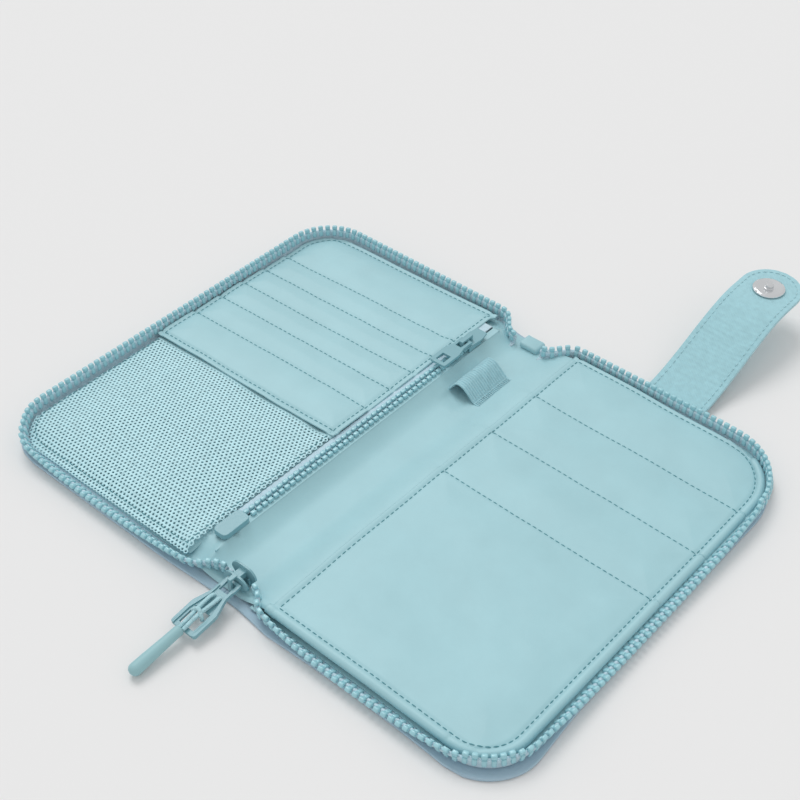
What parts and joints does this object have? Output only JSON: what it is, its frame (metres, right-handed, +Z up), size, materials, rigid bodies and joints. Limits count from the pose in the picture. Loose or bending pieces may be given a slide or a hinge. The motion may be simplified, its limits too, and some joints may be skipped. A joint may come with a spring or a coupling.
{
  "type": "travel wallet",
  "caption": "Open zip-round travel wallet with card slots, a mesh pocket, a zipped pocket, a pen loop, a snap strap and a corded zip pull.",
  "frame": {"origin": "on the table, under the middle of the spine", "axes": "+X across the open wallet towards the slip-pocket cover, +Y along the spine towards the strap, +Z up"},
  "size_m": [0.2683, 0.3368, 0.0236],
  "materials": {
    "shell_fabric": "fine woven polyester, matt",
    "lining_fabric": "smooth coated lining, soft sheen",
    "zip_teeth": "moulded acetal, satin",
    "zip_tape": "herringbone tape, matt",
    "webbing": "ribbed or twill webbing, matt",
    "net": "open knitted net",
    "painted_metal": "satin enamel",
    "rubber": "soft moulded rubber",
    "snap_metal": "bright nickel",
    "board": "stiffener board, hidden"
  },
  "bodies": {
    "spine": {"spine_shell": "shell_fabric", "spine_lining": "lining_fabric", "pen_loop": "webbing", "main_slider": "painted_metal", "zip_end_tab": "zip_tape", "left_chain_bend_low": "zip_teeth", "left_chain_bend_high": "zip_teeth", "right_chain_bend_low": "zip_teeth", "right_chain_bend_high": "zip_teeth"},
    "left_cover": {"left_shell": "shell_fabric", "left_board": "board", "left_lining": "lining_fabric", "left_zip_panel": "lining_fabric", "left_card_slot_1": "lining_fabric", "left_card_slot_2": "lining_fabric", "left_card_slot_3": "lining_fabric", "left_card_slot_4": "lining_fabric", "left_card_slot_5": "lining_fabric", "mesh_pocket": "net", "left_zip_chain": "zip_teeth", "snap_socket": "snap_metal", "pocket_tape_left": "zip_tape", "pocket_tape_right": "zip_tape", "pocket_gusset": "lining_fabric", "pocket_zip_stop": "painted_metal"},
    "right_cover": {"right_shell": "shell_fabric", "right_board": "board", "right_lining": "lining_fabric", "right_panel": "lining_fabric", "right_card_slot_1": "lining_fabric", "right_card_slot_2": "lining_fabric", "right_card_slot_3": "lining_fabric", "right_binding": "lining_fabric", "right_zip_chain": "zip_teeth", "strap_back": "webbing", "strap_face": "webbing", "snap_stud": "snap_metal", "snap_cap": "snap_metal"},
    "pocket_slider": {"pocket_slider": "painted_metal"},
    "pocket_pull": {"pocket_pull": "painted_metal"},
    "main_pull": {"main_pull": "painted_metal", "pull_cord_loop": "webbing", "pull_grip": "rubber"}
  },
  "joints": [
    {"name": "left_cover_fold", "type": "hinge", "parent": "spine", "child": "left_cover", "pos_m": [-0.0115, 0, 0.0016], "axis": [0, -1, 0], "range_deg": [-90, 0], "deforming": ["pen_loop", "left_chain_bend_low", "left_chain_bend_high"]},
    {"name": "right_cover_fold", "type": "hinge", "parent": "spine", "child": "right_cover", "pos_m": [0.0115, 0, 0.0016], "axis": [0, 1, 0], "range_deg": [-90, 0], "deforming": ["right_chain_bend_low", "right_chain_bend_high"]},
    {"name": "pocket_slide", "type": "slide", "parent": "left_cover", "child": "pocket_slider", "axis": [0, -1, 0], "range_m": [0, 0.128]},
    {"name": "pocket_pull_swing", "type": "hinge", "parent": "pocket_slider", "child": "pocket_pull", "pos_m": [-0.017, 0.0666, 0.01175], "axis": [-1, 0, 0], "range_deg": [0, 170]},
    {"name": "main_pull_swing", "type": "hinge", "parent": "spine", "child": "main_pull", "pos_m": [0.003, -0.0945, 0.0068], "axis": [-1, 0, 0], "range_deg": [0, 97]}
  ]
}
